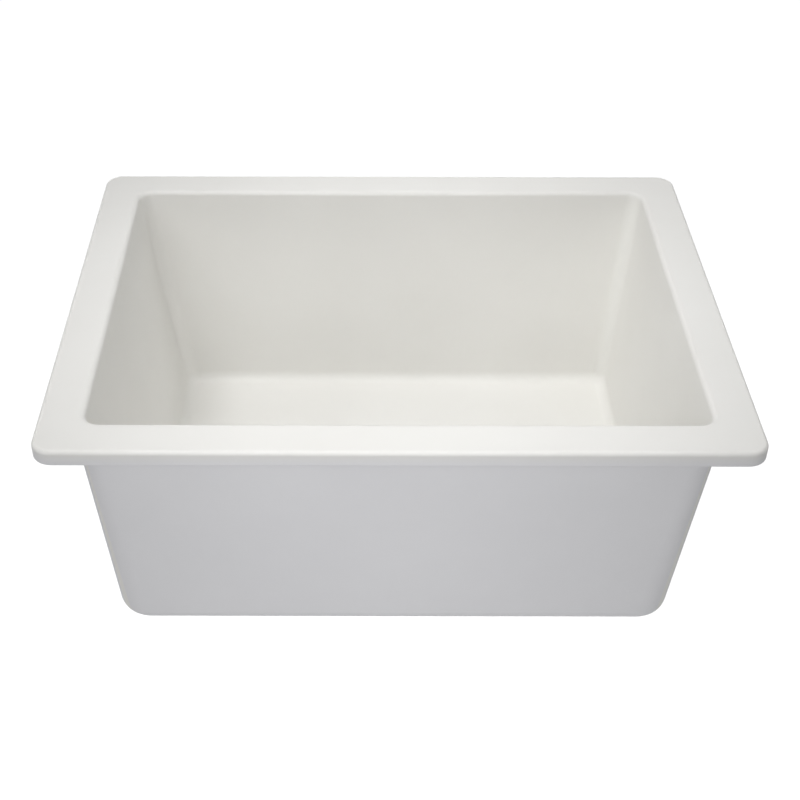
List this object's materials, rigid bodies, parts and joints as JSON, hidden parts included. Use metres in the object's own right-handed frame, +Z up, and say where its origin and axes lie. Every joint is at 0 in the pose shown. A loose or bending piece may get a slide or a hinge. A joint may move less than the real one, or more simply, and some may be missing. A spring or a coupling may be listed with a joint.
{
  "type": "bar sink",
  "caption": "Small rectangular drop-in bar sink in off-white composite, with a flat rim, lift-out basket strainer, sliding plug, outlet tailpiece and under-rim hold-down clips.",
  "frame": {"origin": "centre of the worktop's cut-out, on the worktop's top face, which is the plane of the rim's underside", "axes": "+X along the sink's width to the right seen from its front, +Y from front to back, +Z up; -Z goes down into the worktop"},
  "size_m": [0.427, 0.32, 0.274],
  "materials": {
    "composite": "matt moulded composite, off-white",
    "stainless": "pressed stainless steel, satin",
    "polished": "polished plating",
    "brass": "machined brass",
    "zinc": "zinc plated",
    "black_rubber": "smooth black rubber",
    "white_rubber": "smooth pale rubber",
    "foam": "closed-cell foam strip",
    "fibre": "pressed fibre",
    "nylon": "moulded nylon"
  },
  "bodies": {
    "sink": {"basin": "composite", "rim_seal": "foam", "strainer_gasket": "white_rubber", "strainer_body": "stainless", "outlet_spud": "brass", "bowl_washer": "black_rubber", "friction_washer": "fibre", "locknut": "zinc", "tailpiece_washer": "nylon", "tailpiece": "polished", "coupling_nut": "polished", "stud_inserts": "brass", "hold_down_studs": "zinc"},
    "basket": {"basket_cup": "stainless", "basket_bush": "nylon"},
    "plug": {"plug_post": "stainless", "plug_knob": "polished", "plug_backing": "stainless", "plug_seal": "black_rubber", "plug_washer": "stainless", "plug_nut": "stainless", "plug_catch": "stainless"},
    "hold_down_travel_1": {"hold_down_washer_1": "zinc"},
    "hold_down_claw_1": {"hold_down_clip_1": "zinc"},
    "hold_down_turn_1": {"hold_down_nut_1": "zinc"},
    "hold_down_travel_2": {"hold_down_washer_2": "zinc"},
    "hold_down_claw_2": {"hold_down_clip_2": "zinc"},
    "hold_down_turn_2": {"hold_down_nut_2": "zinc"},
    "hold_down_travel_3": {"hold_down_washer_3": "zinc"},
    "hold_down_claw_3": {"hold_down_clip_3": "zinc"},
    "hold_down_turn_3": {"hold_down_nut_3": "zinc"},
    "hold_down_travel_4": {"hold_down_washer_4": "zinc"},
    "hold_down_claw_4": {"hold_down_clip_4": "zinc"},
    "hold_down_turn_4": {"hold_down_nut_4": "zinc"}
  },
  "joints": [
    {"name": "basket_lift", "type": "slide", "parent": "sink", "child": "basket", "axis": [0, 0, 1], "range_m": [0, 0.23405]},
    {"name": "plug_slide", "type": "slide", "parent": "basket", "child": "plug", "axis": [0, 0, 1], "range_m": [0, 0.008]},
    {"name": "clamp_1_travel", "type": "slide", "parent": "sink", "child": "hold_down_travel_1", "axis": [0, 0, 1], "range_m": [-0.011, 0.018]},
    {"name": "clip_1_swivel", "type": "hinge", "parent": "hold_down_travel_1", "child": "hold_down_claw_1", "pos_m": [0.19352, 0.06, -0.035], "axis": [0, 0, 1], "range_deg": [-90, 90]},
    {"name": "nut_1_turn", "type": "hinge", "parent": "hold_down_travel_1", "child": "hold_down_turn_1", "pos_m": [0.19352, 0.06, -0.038], "axis": [0, 0, 1], "range_deg": [-4952, 8102]},
    {"name": "clamp_2_travel", "type": "slide", "parent": "sink", "child": "hold_down_travel_2", "axis": [0, 0, 1], "range_m": [-0.011, 0.018]},
    {"name": "clip_2_swivel", "type": "hinge", "parent": "hold_down_travel_2", "child": "hold_down_claw_2", "pos_m": [0.19352, -0.06, -0.035], "axis": [0, 0, 1], "range_deg": [-90, 90]},
    {"name": "nut_2_turn", "type": "hinge", "parent": "hold_down_travel_2", "child": "hold_down_turn_2", "pos_m": [0.19352, -0.06, -0.038], "axis": [0, 0, 1], "range_deg": [-4952, 8102]},
    {"name": "clamp_3_travel", "type": "slide", "parent": "sink", "child": "hold_down_travel_3", "axis": [0, 0, 1], "range_m": [-0.011, 0.018]},
    {"name": "clip_3_swivel", "type": "hinge", "parent": "hold_down_travel_3", "child": "hold_down_claw_3", "pos_m": [-0.19352, 0.06, -0.035], "axis": [0, 0, 1], "range_deg": [-90, 90]},
    {"name": "nut_3_turn", "type": "hinge", "parent": "hold_down_travel_3", "child": "hold_down_turn_3", "pos_m": [-0.19352, 0.06, -0.038], "axis": [0, 0, 1], "range_deg": [-4952, 8102]},
    {"name": "clamp_4_travel", "type": "slide", "parent": "sink", "child": "hold_down_travel_4", "axis": [0, 0, 1], "range_m": [-0.011, 0.018]},
    {"name": "clip_4_swivel", "type": "hinge", "parent": "hold_down_travel_4", "child": "hold_down_claw_4", "pos_m": [-0.19352, -0.06, -0.035], "axis": [0, 0, 1], "range_deg": [-90, 90]},
    {"name": "nut_4_turn", "type": "hinge", "parent": "hold_down_travel_4", "child": "hold_down_turn_4", "pos_m": [-0.19352, -0.06, -0.038], "axis": [0, 0, 1], "range_deg": [-4952, 8102]}
  ],
  "couplings": [
    {"joint": "nut_1_turn", "follows": "clamp_1_travel", "rad_per_m": 7854},
    {"joint": "nut_2_turn", "follows": "clamp_2_travel", "rad_per_m": 7854},
    {"joint": "nut_3_turn", "follows": "clamp_3_travel", "rad_per_m": 7854},
    {"joint": "nut_4_turn", "follows": "clamp_4_travel", "rad_per_m": 7854}
  ]
}
